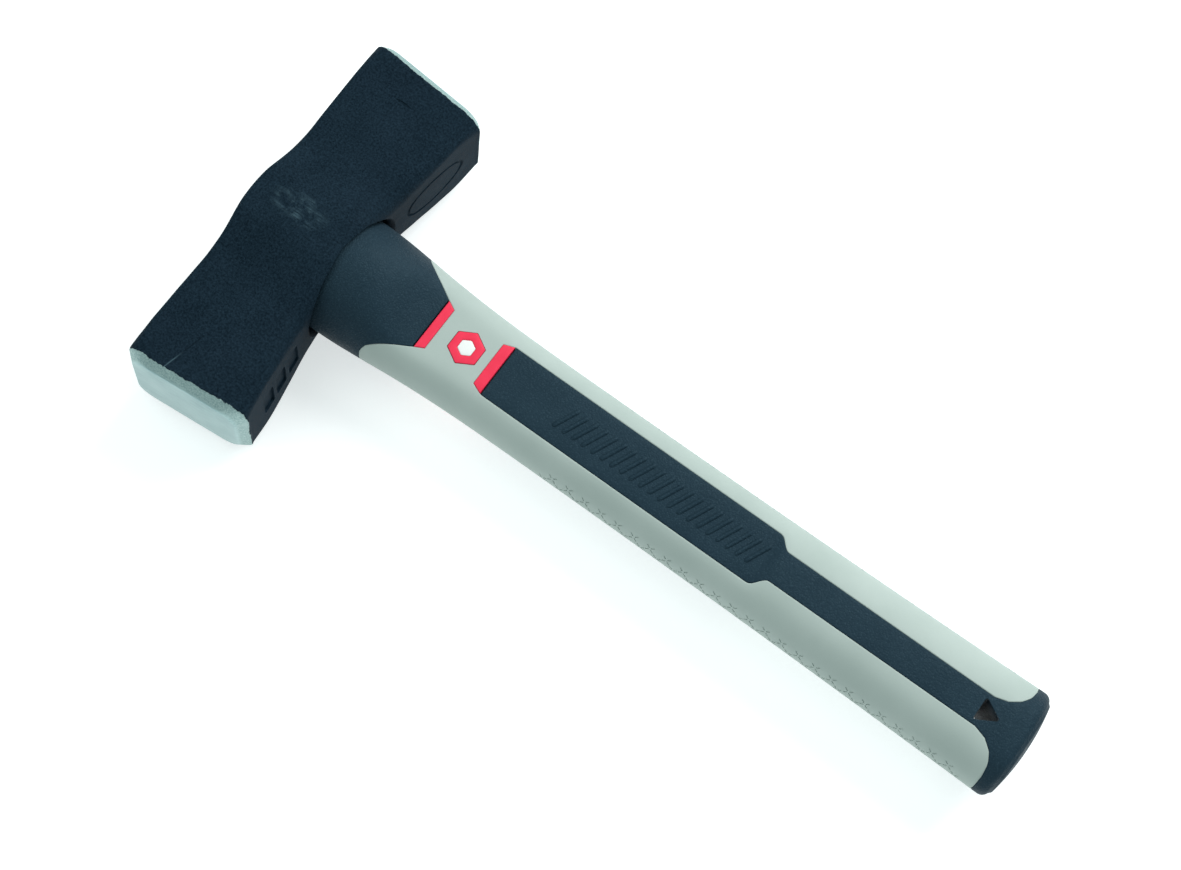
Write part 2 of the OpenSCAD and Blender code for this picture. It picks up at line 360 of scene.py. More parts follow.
# The paint, with one thin scratch that starts at a face and runs on as a dark seam
def headPaint(r, x, y, z, mottle):
    slope, start = headFinish["scratchLine"]
    offLine = r.math("ABSOLUTE", r.math("SUBTRACT", x, r.math("MULTIPLY_ADD", y, slope, start)))
    onLine = r.ramp(offLine, 0.26, 0.08)
    scratch = r.math("MULTIPLY", onLine, r.ramp(y, *headFinish["scratchFades"], 0.0, 0.75))
    seam = r.math("MULTIPLY", onLine, r.ramp(y, *headFinish["seamFades"], 0.0, 0.6))
    cheekOnly = r.ramp(z, headFinish["cheekFrom"], headFinish["cheekFrom"] + 1)
    wear = r.math("MULTIPLY", r.math("MAXIMUM", scuffShare(r, x, y), scratch), cheekOnly)
    cloud = r.grain(12, 3, 0.55)
    shade = r.math("MULTIPLY_ADD", cloud, 0.16, r.math("MULTIPLY", mottle, 0.84))
    paint = r.tint(r.ramp(shade, 0.36, 0.66), headFinish["paint"], headFinish["paintLight"])
    paint = r.tint(r.math("MULTIPLY", seam, cheekOnly), paint, headFinish["seam"])
    return r.tint(r.math("MULTIPLY", wear, 0.9), paint, headFinish["scuffed"])


def bareSteel(r, lines, onBevel):
    steel = r.tint(r.ramp(lines, 0.36, 0.64), headFinish["steelDark"], headFinish["steel"])
    # brighter patches laid at random over the bare steel are a painted highlight
    steel = r.tint(r.ramp(r.grain(9, 2), 0.35, 0.75, 0.0, 0.35), steel, headFinish["steelHighlight"])
    speckle = r.ramp(r.grain(0.45, 3, 0.65), 0.34, 0.66)
    return r.tint(onBevel, steel, r.tint(speckle, headFinish["bevelDark"], headFinish["bevelSteel"]))


def makeHeadFinish():
    r = Recipe("paintedSteel")
    x, y, z = r.axes()
    x = r.math("SUBTRACT", x, headX)
    z = r.math("SUBTRACT", z, axisZ)
    depth = endDepth(r, x, y)
    bare = bareShare(r, y, depth)
    onBevel = r.ramp(depth, 0.75, 1.25)
    mottle = r.grain(headFinish["mottle"], 4, 0.68)
    lines = r.grain(0.40, 4, 0.7, r.stretched((0.035, 1.0, 1.0)))
    color = r.tint(bare, headPaint(r, x, y, z, mottle), bareSteel(r, lines, onBevel))
    steelRough = r.math("ADD", r.ramp(lines, 0.3, 0.7, 0.32, 0.46), r.math("MULTIPLY", onBevel, 0.16))
    rough = r.tint(bare, r.ramp(mottle, 0.3, 0.7, 0.50, 0.72), steelRough)
    painted = r.math("SUBTRACT", 1.0, bare)
    skin = r.bump(r.grain(3.2, 2, 0.5), 0.10, 0.6)
    skin = r.bump(r.math("MULTIPLY", mottle, painted), 0.16, 0.8, skin)
    skin = r.bump(r.math("MULTIPLY", r.grain(0.28, 3, 0.6), painted), 0.10, 0.7, skin)
    skin = r.bump(r.math("MULTIPLY", lines, bare), 0.02, 0.6, skin)
    skin = r.bump(bare, 0.10, 0.5, skin)
    metal = r.math("MULTIPLY", bare, 0.85)
    return r.give(color=color, roughness=rough, metallic=metal, specular=headFinish["shine"], normal=skin)


plasticFinish = {
    "dark": (0.0130, 0.029, 0.043), "light": (0.0165, 0.035, 0.051),
    "spark": (0.034, 0.064, 0.085), "creaseShade": (0.010, 0.023, 0.034),
    "sparkSize": 0.46, "leatherSize": 1.0,
    "shine": 0.13, "shineTint": (0.60, 0.88, 1.0),
}


def makePlastic():
    r = Recipe("darkPlastic")
    spark = r.cells(plasticFinish["sparkSize"])
    leather = r.grain(plasticFinish["leatherSize"], 3, 0.6)
    color = r.tint(r.ramp(r.grain(16, 2), 0.3, 0.7), plasticFinish["dark"], plasticFinish["light"])
    color = r.tint(r.ramp(spark, 0.35, 0.1, 0.0, 0.6), color, plasticFinish["spark"])
    # the hollows of the leather grain are tinted darker, a painted shade in the creases
    color = r.tint(r.ramp(leather, 0.56, 0.40, 0.0, 0.25), color, plasticFinish["creaseShade"])
    skin = r.bump(leather, 0.16, 0.8)
    skin = r.bump(spark, 0.15, 0.9, skin)
    rough = r.ramp(r.grain(2.5, 2), 0.3, 0.7, 0.46, 0.60)
    return r.give(color=color, roughness=rough, specular=plasticFinish["shine"],
                  sheenTint=plasticFinish["shineTint"], normal=skin)


rubberFinish = {
    "dark": (0.400, 0.470, 0.436), "light": (0.446, 0.515, 0.480), "speck": (0.34, 0.42, 0.385),
    "grainSize": 0.35, "shine": 0.3,
}


def makeRubber():
    r = Recipe("paleRubber")
    fine = r.grain(rubberFinish["grainSize"], 3, 0.6)
    color = r.tint(r.ramp(r.grain(22, 3), 0.3, 0.7), rubberFinish["dark"], rubberFinish["light"])
    color = r.tint(r.ramp(fine, 0.55, 0.8, 0.0, 0.3), color, rubberFinish["speck"])
    skin = r.bump(r.grain(5, 2), 0.03, 0.4)
    skin = r.bump(fine, 0.03, 0.5, skin)
    rough = r.ramp(r.grain(3, 2), 0.3, 0.7, 0.58, 0.7)
    return r.give(color=color, roughness=rough, specular=rubberFinish["shine"], normal=skin)


# Each trim colour has its darker and lighter tint and the two ends of its roughness
trimFinish = {
    "redPlastic": ((0.86, 0.028, 0.075), (0.92, 0.036, 0.090), 0.38, 0.5),
    "whitePlastic": ((0.86, 0.87, 0.85), (0.92, 0.93, 0.91), 0.35, 0.45),
}


def makeTrim(name):
    r = Recipe(name)
    first, second, roughLow, roughHigh = trimFinish[name]
    color = r.tint(r.ramp(r.grain(4, 3), 0.3, 0.7), first, second)
    skin = r.bump(r.grain(0.3, 2), 0.015, 0.5)
    rough = r.ramp(r.grain(1.2, 2), 0.3, 0.7, roughLow, roughHigh)
    return r.give(color=color, roughness=rough, specular=0.25, normal=skin)


insideFinish = {
    "epoxy": ((0.20, 0.15, 0.07), (0.36, 0.29, 0.15)),
    "fibre": ((0.42, 0.38, 0.22), (0.72, 0.68, 0.48)),
}


def makeEpoxy():
    r = Recipe("epoxyBond")
    color = r.tint(r.ramp(r.grain(2.2, 4, 0.6), 0.35, 0.7), *insideFinish["epoxy"])
    skin = r.bump(r.grain(1.1, 3), 0.12, 0.6)
    return r.give(color=color, roughness=r.ramp(r.grain(1.4, 2), 0.3, 0.7, 0.2, 0.38), normal=skin)


def makeGlassFibre():
    r = Recipe("glassFibre")
    strands = r.grain(0.35, 3, 0.7, r.stretched((0.06, 1.0, 1.0)))
    color = r.tint(r.ramp(strands, 0.35, 0.65), *insideFinish["fibre"])
    skin = r.bump(strands, 0.05, 0.6)
    return r.give(color=color, roughness=r.ramp(strands, 0.3, 0.7, 0.4, 0.6), normal=skin)


paintedSteel = makeHeadFinish()
darkPlastic = makePlastic()
paleRubber = makeRubber()
redPlastic = makeTrim("redPlastic")
whitePlastic = makeTrim("whitePlastic")
epoxyBond = makeEpoxy()
glassFibre = makeGlassFibre()
print("materials")


# The handle's outside, shared by the jacket, the grip and the bars

handle = {
    "seat": 14, "gripHalf": 15.9, "collarHalf": 18.7, "buttFlare": 1.7, "ovalRatio": 0.71,
    "wideFlat": 9.55, "narrowFlat": 10.9, "buttFlat": 11.5, "collarFlat": 22.0,
    "collarFrom": 17.0, "collarTo": 45.0,     # where the round collar turns into the oval grip
    "edgeHardness": 18,
    "stepFrom": 161, "stepTo": 166,
    "gripFrom": 31.2, "gripTo": 245.5,
    "swellLength": 32, "flareFrom": 100,
    "skin": 1.7, "edgeRound": 0.3,
}
neckGap = (43.8, 44.15)
neckBarTo = 47.0
panelBarFrom = 64.45
panelGap = (67.75, 68.1)


def halfWidth(x):
    past = np.maximum(x - handle["seat"], 0)
    swell = (handle["collarHalf"] - handle["gripHalf"]) * np.exp(-(past / handle["swellLength"]) ** 2)
    run = np.maximum(x - handle["flareFrom"], 0) / (buttReach - handle["flareFrom"])
    return handle["gripHalf"] + swell + handle["buttFlare"] * run ** 2


def flatHeight(x):
    flat = np.where(x < handle["stepTo"],
                    handle["wideFlat"] + (handle["narrowFlat"] - handle["wideFlat"])
                    * smoothStep(x, handle["stepFrom"], handle["stepTo"]),
                    np.interp(x, [handle["stepTo"], buttReach], [handle["narrowFlat"], handle["buttFlat"]]))
    toRound = 1 - smoothStep(x, handle["collarFrom"], handle["collarTo"])
    return flat + (handle["collarFlat"] - handle["wideFlat"]) * toRound ** 1.25


def ringRadius(x, angle):
    wide = halfWidth(x)
    toRound = 1 - smoothStep(x, handle["collarFrom"], handle["collarTo"])
    tall = wide * (handle["ovalRatio"] + (1 - handle["ovalRatio"]) * toRound)
    oval = 1 / np.sqrt((np.cos(angle) / wide) ** 2 + (np.sin(angle) / tall) ** 2)
    flat = flatHeight(x) / np.maximum(np.abs(np.sin(angle)), 1e-3)
    hard = handle["edgeHardness"]
    return (oval ** -hard + flat ** -hard) ** (-1 / hard)


def outsidePoint(x, angle):
    radius = ringRadius(x, angle)
    return np.stack(np.broadcast_arrays(x, radius * np.cos(angle), radius * np.sin(angle)), -1)


def angleAt(x, y):
    low, high = np.zeros_like(x + y), np.full_like(x + y, np.pi / 2)
    for _ in range(45):
        middle = (low + high) / 2
        outside = ringRadius(x, middle) * np.cos(middle) > y
        low, high = np.where(outside, middle, low), np.where(outside, high, middle)
    return (low + high) / 2


# The line between the flat side and the flank, as (x, y): collar, bars, panel and butt
panelHalf, narrowHalf, bendSteps = 8.8, 5.1, 8


def bendAt(share):
    x = handle["stepFrom"] + (handle["stepTo"] - handle["stepFrom"]) * share
    swing = (1 + math.cos(math.pi * share)) / 2
    return x, narrowHalf + (panelHalf - narrowHalf) * swing


panelEdge = [(32.3, 16), (35.3, 14), (43.8, 8.9), (47.0, 7.2), (64.45, 7.3), (68.1, panelHalf)]
panelEdge += [(handle["stepFrom"], panelHalf)]
panelEdge += [bendAt(i / bendSteps) for i in range(1, bendSteps + 1)]
panelEdge += [(236, narrowHalf), (240, 6.3), (243, 8.6), (244.8, 11.4), (245.5, 15)]
notchAngle = math.radians(8)


def edgeAngle(x):
    marks, sides = np.array(panelEdge).T
    inner = np.clip(x, marks[0], marks[-1])
    angle = angleAt(inner, np.interp(inner, marks, sides))
    opening = np.sqrt(np.clip((x - handle["gripFrom"]) / (marks[0] - handle["gripFrom"]), 0, 1))
    return np.where(x < marks[0], notchAngle + (angle - notchAngle) * opening, angle)


nearEdge = [0.06, 0.16, 0.3, 0.6]     # where the lines beside an edge lie, for its rounding
stripSteps, flankSteps = 26, 30


# How far apart the grid's rows are along the handle: from, to and gap
rowSpacings = [(9.0, 31.0, 1.0), (31.2, 36, 0.35), (36, 72, 1.0), (72, 160, 1.6), (160, 168, 0.45),
               (168, 235, 1.6), (235, 245.5, 0.45)]
clearOfMark, leastGap = 0.75, 0.05


def gridRows():
    marks = [handle["gripFrom"], *neckGap, neckBarTo, panelBarFrom, *panelGap, handle["gripTo"]]
    rows = set(marks)
    for mark in marks:
        for offset in nearEdge:
            rows |= {mark - offset, mark + offset}
    for start, end, gap in rowSpacings:
        for x in np.arange(start, end, gap):
            if min(abs(x - m) for m in marks) > clearOfMark:
                rows.add(float(x))
    kept = []
    for x in sorted(rows):
        if x in marks:
            while kept and x - kept[-1] < leastGap and kept[-1] not in marks:
                kept.pop()
            kept.append(x)
        elif not kept or x - kept[-1] > leastGap:
            kept.append(x)
    return np.array(kept)


def ringAngles(x):
    edge = edgeAngle(x)
    near = np.array([0.0] + nearEdge)[None, :] / ringRadius(x, edge)[:, None]
    last = near[:, -1:]

    def span(start, end, steps):
        middle = np.linspace(0, 1, steps + 1)[1:-1][None, :]
        between = (start[:, None] + last) + (end - start - 2 * last[:, 0])[:, None] * middle
        return np.concatenate([start[:, None] + near, between, end[:, None] - near[:, :0:-1]], 1)

    strips = [span(edge, np.pi - edge, stripSteps),
              span(np.pi - edge, np.pi + edge, flankSteps),
              span(np.pi + edge, 2 * np.pi - edge, stripSteps),
              span(2 * np.pi - edge, 2 * np.pi + edge, flankSteps)]
    kind = np.concatenate([np.full(s.shape[1], i) for i, s in enumerate(strips)])
    return np.concatenate(strips, 1), kind


def stadiumRadius(angle, length, width):
    straight, nose = (length - width) / 2, width / 2
    side = nose / np.maximum(np.abs(np.sin(angle)), 1e-6)
    reach = straight * np.abs(np.cos(angle))
    end = reach + np.sqrt(np.maximum(nose ** 2 - (straight * np.sin(angle)) ** 2, 0))
    return np.where(side * np.abs(np.cos(angle)) <= straight, side, end)


def gridNormals(points):
    around = np.roll(points, -1, 1) - np.roll(points, 1, 1)
    along = np.gradient(points, axis=0)
    normal = np.cross(around, along)
    normal /= np.maximum(np.linalg.norm(normal, axis=2, keepdims=True), 1e-9)
    outward = (normal[..., 1:] * points[..., 1:]).sum()
    return normal if outward > 0 else -normal


rowX = gridRows()
angles, columnKind = ringAngles(rowX)
outside = outsidePoint(rowX[:, None] + 0 * angles, angles)
normals = gridNormals(outside)
rowMiddle = (rowX[1:] + rowX[:-1]) / 2
onFlat = (columnKind % 2 == 0)[None, :]


def between(start, end):
    return ((rowMiddle > start) & (rowMiddle < end))[:, None]


onFlank = ~onFlat
frontOnly = (columnKind == 0)[None, :]
rearOnly = (columnKind == 2)[None, :]
gripMask = onFlank & between(handle["gripFrom"], handle["gripTo"])
gripMask = gripMask | (onFlat & between(neckBarTo, panelBarFrom))
trimMask = onFlat & between(neckGap[0], panelGap[1]) & ~between(neckBarTo, panelBarFrom)
jacketMask = ~(gripMask | trimMask)


def maskedCorners(mask):
    hit = np.zeros(outside.shape[:2], bool)
    for down in (0, 1):
        for across in (0, 1):
            hit[down:mask.shape[0] + down] |= np.roll(mask, across, 1)
    return hit


def roundedOutside(mask, proud=0.0):
    border = maskedCorners(mask) & maskedCorners(~mask)
    tree = KDTree(int(border.sum()))
    for i, point in enumerate(outside[border]):
        tree.insert(point, i)
    tree.balance()
    size = handle["edgeRound"]
    shape = outside.shape[:2]
    depth = np.zeros(shape)
    inside = maskedCorners(mask)
    for i, j in zip(*np.nonzero(inside)):
        distance = tree.find(outside[i, j])[2]
        if distance is not None and distance < size:
            depth[i, j] = size - math.sqrt(max(size ** 2 - (size - distance) ** 2, 0))
    return outside - normals * (depth - proud)[..., None]


def maskFaces(mask, topIndex, bottomIndex, closed):
    rows, columns = mask.shape
    faces = []
    for i in range(rows):
        for j in range(columns):
            k = (j + 1) % columns
            upper = (topIndex[i, j], topIndex[i, k], topIndex[i + 1, k], topIndex[i + 1, j])
            lower = (bottomIndex[i, j], bottomIndex[i, k], bottomIndex[i + 1, k], bottomIndex[i + 1, j])
            if mask[i, j]:
                faces.append(upper)
            if mask[i, j] and closed:
                faces.append(lower[::-1])
            if not mask[i, j] and not closed:
                faces.append(lower)
            # the wall on the far side of this face, along the columns and then along the rows
            for other, a, b in ((mask[i, k], (i, k), (i + 1, k)),
                                (mask[i + 1, j] if i + 1 < rows else (False if closed else mask[i, j]),
                                 (i + 1, k), (i + 1, j))):
                if mask[i, j] and not other:
                    faces.append((topIndex[b], topIndex[a], bottomIndex[a], bottomIndex[b]))
                if other and not mask[i, j]:
                    faces.append((topIndex[a], topIndex[b], bottomIndex[b], bottomIndex[a]))
            if i == 0 and closed and mask[i, j]:
                a, b = (0, j), (0, k)
                faces.append((topIndex[b], topIndex[a], bottomIndex[a], bottomIndex[b]))
    return faces


def used(points, faces):
    order = sorted({i for face in faces for i in face})
    renumber = {old: new for new, old in enumerate(order)}
    return points[order], [tuple(renumber[i] for i in face) for face in faces]


def shellFrom(name, mask, depth, proud=0.0):
    top = roundedOutside(mask, proud)
    bottom = outside - normals * depth
    count = outside.shape[0] * outside.shape[1]
    index = np.arange(count).reshape(outside.shape[:2])
    faces = maskFaces(mask, index, index + count, True)
    points, faces = used(np.concatenate([top.reshape(-1, 3), bottom.reshape(-1, 3)]), faces)
    return addMesh(name, points, faces)


# The jacket: tenon, collar, panels and butt in one body, stepped down under the overmould

jacket = {
    "tenonEnd": -18.33, "tenonLength": 29, "tenonWidth": 19,
    "tenonEdge": [(0, 0.5), (0.15, 0.15), (0.5, 0)],        # from the end, and how far inside the side
    "tenonRows": (-10, 0, 8.9),
    "coreLength": 20, "coreWidth": 11, "coreFrom": -30, "coreEnd": 226,
    "rim": 2.6, "dome": 2.1, "buttRing": 247.0, "buttLead": 0.9,
    "domeShares": (0.86, 0.8, 0.7, 0.58, 0.45, 0.3, 0.15),
    "holeMiddle": 236.5, "holeReach": 4.6, "holeRound": 0.6, "holeCut": 14,
}


def buttRows(ring):
    reach = float(halfWidth(np.array(buttReach)))
    rim = jacket["rim"]
    base = buttReach - jacket["dome"]
    steps = [(base - rim - jacket["buttLead"], reach)]
    for degree in range(0, 80, 10):
        a = math.radians(degree)
        steps.append((base - rim * (1 - math.sin(a)), reach - rim * (1 - math.cos(a))))
    for share in jacket["domeShares"]:
        steps.append((buttReach - jacket["dome"] * share ** 2, reach * share))
    rows = []
    for x, wide in steps:
        row = ring * (1, wide / reach, wide / reach)
        row[:, 0] = x
        rows.append(row)
    return np.array(rows)


def stadiumRow(angle, x, length, width):
    radius = stadiumRadius(angle, length, width)
    return np.stack([np.full_like(angle, x), radius * np.cos(angle), radius * np.sin(angle)], -1)


def tenonRows(angle):
    steps = [(jacket["tenonEnd"] + x, inset) for x, inset in jacket["tenonEdge"]]
    steps += [(x, 0) for x in jacket["tenonRows"]]
    length, width = jacket["tenonLength"], jacket["tenonWidth"]
    return np.array([stadiumRow(angle, x, length - 2 * inset, width - 2 * inset) for x, inset in steps])


def stadiumPrism(name, length, width, stations):
    angle = np.linspace(0, 2 * np.pi, 97)[:-1]
    rows = [stadiumRow(angle, x, length + 2 * spread, width + 2 * spread) for x, spread in stations]
    return tube(name, np.array(rows))


def tube(name, rows):
    count, around = rows.shape[:2]
    points = list(rows.reshape(-1, 3)) + [rows[0].mean(0), rows[-1].mean(0)]
    faces = []
    for i in range(count - 1):
        for j in range(around):
            k = (j + 1) % around
            faces.append((i * around + j, i * around + k, (i + 1) * around + k, (i + 1) * around + j))
    for j in range(around):
        k = (j + 1) % around
        faces.append((count * around, k, j))
        faces.append((count * around + 1, (count - 1) * around + j, (count - 1) * around + k))
    piece = addMesh(name, points, faces)
    turnOut(piece)
    return piece


def turnOut(piece):
    mesh = piece.data
    mesh.calc_loop_triangles()
    volume = 0.0
    for triangle in mesh.loop_triangles:
        a, b, c = (mesh.vertices[i].co for i in triangle.vertices)
        volume += a.dot(b.cross(c))
    if volume < 0:
        mesh.flip_normals()
    mesh.update()


def prismZ(name, outline, low, high):
    outline = np.array(outline, float)
    rows = [np.column_stack([outline, np.full(len(outline), z)]) for z in (low, high)]
    return tube(name, np.array(rows))


def roundedPolygon(middle, reach, sides, turn, radius, steps=5):
    outline = []
    for side in range(sides):
        a = turn + 2 * math.pi * side / sides
        out = reach - radius / math.cos(math.pi / sides)
        corner = np.array(middle) + out * np.array([math.cos(a), math.sin(a)])
        for step in range(steps + 1):
            b = a + math.pi / sides * (2 * step / steps - 1)
            outline.append(corner + radius * np.array([math.cos(b), math.sin(b)]))
    return outline


def makeJacket():
    top = roundedOutside(jacketMask)
    bottom = outside - normals * handle["skin"]
    before = tenonRows(angles[0])
    ring = outsidePoint(np.full(angles.shape[1], jacket["buttRing"]), angles[-1])
    after = buttRows(ring)
    top = np.concatenate([before, top, after])
    bottom = np.concatenate([before, bottom, after])
    columns = angles.shape[1]
    mask = np.concatenate([np.ones((len(before), columns), bool), jacketMask,
                           np.ones((len(after), columns), bool)])
    count = top.shape[0] * top.shape[1]
    index = np.arange(count).reshape(top.shape[:2])
    faces = maskFaces(mask, index, index + count, False)
    ends = [before[0].mean(0), [buttReach, 0, 0]]
    points = np.concatenate([top.reshape(-1, 3), bottom.reshape(-1, 3), ends])
    for j in range(columns):
        k = (j + 1) % columns
        faces.append((2 * count, index[0, k], index[0, j]))
        faces.append((2 * count + 1, index[-1, j], index[-1, k]))
    points, faces = used(points, faces)
    piece = addMesh("handleJacket", points, faces)
    turnOut(piece)
    return piece


def carveHole(piece):
    outline = roundedPolygon((jacket["holeMiddle"], 0), jacket["holeReach"], 3, 0, jacket["holeRound"])
    return carve(piece, prismZ("hangingHoleCutter", outline, -jacket["holeCut"], jacket["holeCut"]))


# Ribs on the wide panel, and fine crosses along the flanks, laid out flat by Geometry Nodes

ribs = {
    "count": 21, "pitch": 3.35, "from": 92.0, "length": 9.4, "width": 1.5, "rise": 0.48, "sink": 0.5,
    "slant": 24, "block": 2.0,
}
ribTaper = 0.84     # the share of a rib's half length after which its ends round off
crosses = {
    "count": 26, "pitch": 5.75, "from": 95.6, "arm": 1.3, "gap": 0.45, "width": 0.40, "depth": 0.20,
    "above": 0.5, "rowGap": 2.9, "rowsEachWay": 1,
}


class Tree:
    def __init__(self, name, inputs):
        self.group = bpy.data.node_groups.new(name, "GeometryNodeTree")
        self.group.interface.new_socket("Geometry", in_out="OUTPUT", socket_type="NodeSocketGeometry")
        self.identifiers = {}
        for label, kind in inputs:
            made = self.group.interface.new_socket(label, in_out="INPUT", socket_type=kind)
            self.identifiers[label] = made.identifier
        self.ins = self.group.nodes.new("NodeGroupInput").outputs
        self.out = self.group.nodes.new("NodeGroupOutput")

    def add(self, kind, inputs=None, **settings):
        node = self.group.nodes.new(kind)
        for name, value in settings.items():
            setattr(node, name, value)
        for name, value in (inputs or {}).items():
            target = node.inputs[name]
            if isinstance(value, bpy.types.NodeSocket):
                self.group.links.new(value, target)
            else:
                target.default_value = value
        return node

    def calc(self, operation, *values):
        node = self.add("ShaderNodeMath", operation=operation)
        for value, target in zip(values, node.inputs):
            if isinstance(value, bpy.types.NodeSocket):
                self.group.links.new(value, target)
            else:
                target.default_value = value
        return node.outputs["Value"]

    def vector(self, x=0.0, y=0.0, z=0.0):
        return self.add("ShaderNodeCombineXYZ", {"X": x, "Y": y, "Z": z}).outputs["Vector"]

    def lineOf(self, geometry, count, pitch, material):
        step = self.vector(pitch)
        line = self.add("GeometryNodeMeshLine", {"Count": count, "Offset": step}, mode="OFFSET")
        copies = self.add("GeometryNodeInstanceOnPoints", {"Points": line.outputs["Mesh"],
                                                           "Instance": geometry})
        real = self.add("GeometryNodeRealizeInstances", {"Geometry": copies.outputs["Instances"]})
        dressed = self.add("GeometryNodeSetMaterial", {"Geometry": real.outputs["Geometry"],
                                                       "Material": material})
        self.group.links.new(dressed.outputs["Geometry"], self.out.inputs["Geometry"])


def layOut(tree, name, values):
    holder = bpy.data.objects.new(name, bpy.data.meshes.new(name))
    scene.collection.objects.link(holder)
    maker = holder.modifiers.new("maker", "NODES")
    maker.node_group = tree.group
    for label, value in values.items():
        maker[tree.identifiers[label]] = value
    graph = bpy.context.evaluated_depsgraph_get()
    mesh = bpy.data.meshes.new_from_object(holder.evaluated_get(graph))
    points = np.array([v.co for v in mesh.vertices], float).reshape(-1, 3)
    faces = [tuple(f.vertices) for f in mesh.polygons]
    holder.modifiers.clear()
    bpy.data.objects.remove(holder)
    return points, faces


def floatInputs(*labels):
    return [(label, "NodeSocketFloat") for label in labels]


def ribTree():
    tree = Tree("panelRibs", [("Count", "NodeSocketInt"), ("Material", "NodeSocketMaterial"),
                              *floatInputs("Pitch", "Length", "Width", "Rise", "Sink", "Slant")])
    ins = tree.ins
    size = tree.vector(ins["Width"], ins["Length"], ribs["block"])
    steps = {"Size": size, "Vertices X": 9, "Vertices Y": 27, "Vertices Z": 2}
    block = tree.add("GeometryNodeMeshCube", steps)
    spot = tree.add("ShaderNodeSeparateXYZ", {"Vector": tree.add("GeometryNodeInputPosition").outputs[0]})
    x, y, z = spot.outputs
    across = tree.calc("ABSOLUTE", tree.calc("DIVIDE", x, tree.calc("MULTIPLY", ins["Width"], 0.5)))
    along = tree.calc("ABSOLUTE", tree.calc("DIVIDE", y, tree.calc("MULTIPLY", ins["Length"], 0.5)))
    acrossCrown = tree.calc("SUBTRACT", 1.0, tree.calc("POWER", across, 2.5))
    alongCrown = tree.calc("SUBTRACT", 1.0, tree.calc("POWER", along, 9.0))
    risen = tree.calc("MULTIPLY", ins["Rise"], tree.calc("MULTIPLY", acrossCrown, alongCrown))
    high = tree.calc("MULTIPLY", risen, tree.calc("GREATER_THAN", z, 0.0))
    low = tree.calc("MULTIPLY", tree.calc("MULTIPLY", ins["Sink"], -1.0), tree.calc("LESS_THAN", z, 0.0))
    pastTaper = tree.calc("DIVIDE", tree.calc("SUBTRACT", along, ribTaper), 1 - ribTaper)
    nose = tree.calc("POWER", tree.calc("MAXIMUM", pastTaper, 0.0), 2.0)
    squeeze = tree.calc("SQRT", tree.calc("MAXIMUM", tree.calc("SUBTRACT", 1.0, nose), 0.06))
    shaped = tree.vector(tree.calc("MULTIPLY", x, squeeze), y, tree.calc("ADD", high, low))
    rounded = tree.add("GeometryNodeSetPosition", {"Geometry": block.outputs["Mesh"], "Position": shaped})
    turned = tree.add("GeometryNodeTransform", {"Geometry": rounded.outputs["Geometry"],
                                                "Rotation": tree.vector(0.0, 0.0, ins["Slant"])})
    tree.lineOf(turned.outputs["Geometry"], ins["Count"], ins["Pitch"], ins["Material"])
    return tree


def crossTree():
    tree = Tree("flankCrosses", [("Count", "NodeSocketInt"), ("Material", "NodeSocketMaterial"),
                                 *floatInputs("Pitch", "Arm", "Gap", "Width", "Depth", "Above")])
    ins = tree.ins
    size = tree.vector(ins["Arm"], ins["Width"], tree.calc("ADD", ins["Depth"], ins["Above"]))
    steps = {"Size": size, "Vertices X": 5, "Vertices Y": 2, "Vertices Z": 2}
    block = tree.add("GeometryNodeMeshCube", steps).outputs["Mesh"]
    out = tree.calc("ADD", tree.calc("MULTIPLY", ins["Arm"], 0.5), ins["Gap"])
    lift = tree.calc("MULTIPLY", tree.calc("SUBTRACT", ins["Above"], ins["Depth"]), 0.5)
    arm = tree.add("GeometryNodeTransform", {"Geometry": block, "Translation": tree.vector(out, 0.0, lift)})
    star = tree.add("GeometryNodeJoinGeometry")
    for quarter in range(4):
        turn = (0, 0, math.pi * (quarter / 2 + 0.25))
        turned = tree.add("GeometryNodeTransform", {"Geometry": arm.outputs[0], "Rotation": turn})
        tree.group.links.new(turned.outputs["Geometry"], star.inputs["Geometry"])
    tree.lineOf(star.outputs["Geometry"], ins["Count"], ins["Pitch"], ins["Material"])
    return tree


def surfaceHeight(x, y):
    angle = angleAt(x, np.abs(y))
    return ringRadius(x, angle) * np.sin(angle)


def ontoPanel(points, side):
    x = points[:, 0] + ribs["from"]
    bent = np.column_stack([x, points[:, 1], surfaceHeight(x, points[:, 1]) + points[:, 2]])
    return bent * (1, side, side)


def ontoFlank(points, side):
    steps = 41
    sweep = np.radians(60) * np.linspace(-1, 1, steps)
    x = points[:, 0]
    ring = outsidePoint(x[:, None] + 0 * sweep, sweep[None, :] + 0 * x[:, None])
    chords = np.linalg.norm(np.diff(ring, axis=1), axis=2)
    run = np.concatenate([np.zeros((len(x), 1)), np.cumsum(chords, 1)], 1)
    run -= run[:, steps // 2][:, None]
    angle = np.array([np.interp(s, r, sweep) for s, r in zip(points[:, 1], run)])
    base = outsidePoint(x, angle)
    ahead, behind = outsidePoint(x, angle + 1e-3), outsidePoint(x, angle - 1e-3)
    tangent = ahead - behind
    normal = np.column_stack([0 * x, tangent[:, 2], -tangent[:, 1]])
    normal /= np.linalg.norm(normal, axis=1, keepdims=True)
    bent = base + normal * points[:, 2:]
    return bent * (1, side, 1)


def makeRibs():
    points, faces = layOut(ribTree(), "panelRibs", {
        "Count": ribs["count"], "Pitch": ribs["pitch"], "Length": ribs["length"], "Width": ribs["width"],
        "Rise": ribs["rise"], "Sink": ribs["sink"], "Slant": math.radians(-ribs["slant"]),
        "Material": darkPlastic})
    both = []
    for label, side in (("Front", 1), ("Rear", -1)):
        piece = addMesh("ribs" + label, ontoPanel(points, side), faces)
        turnOut(piece)
        both.append(piece)
    return both


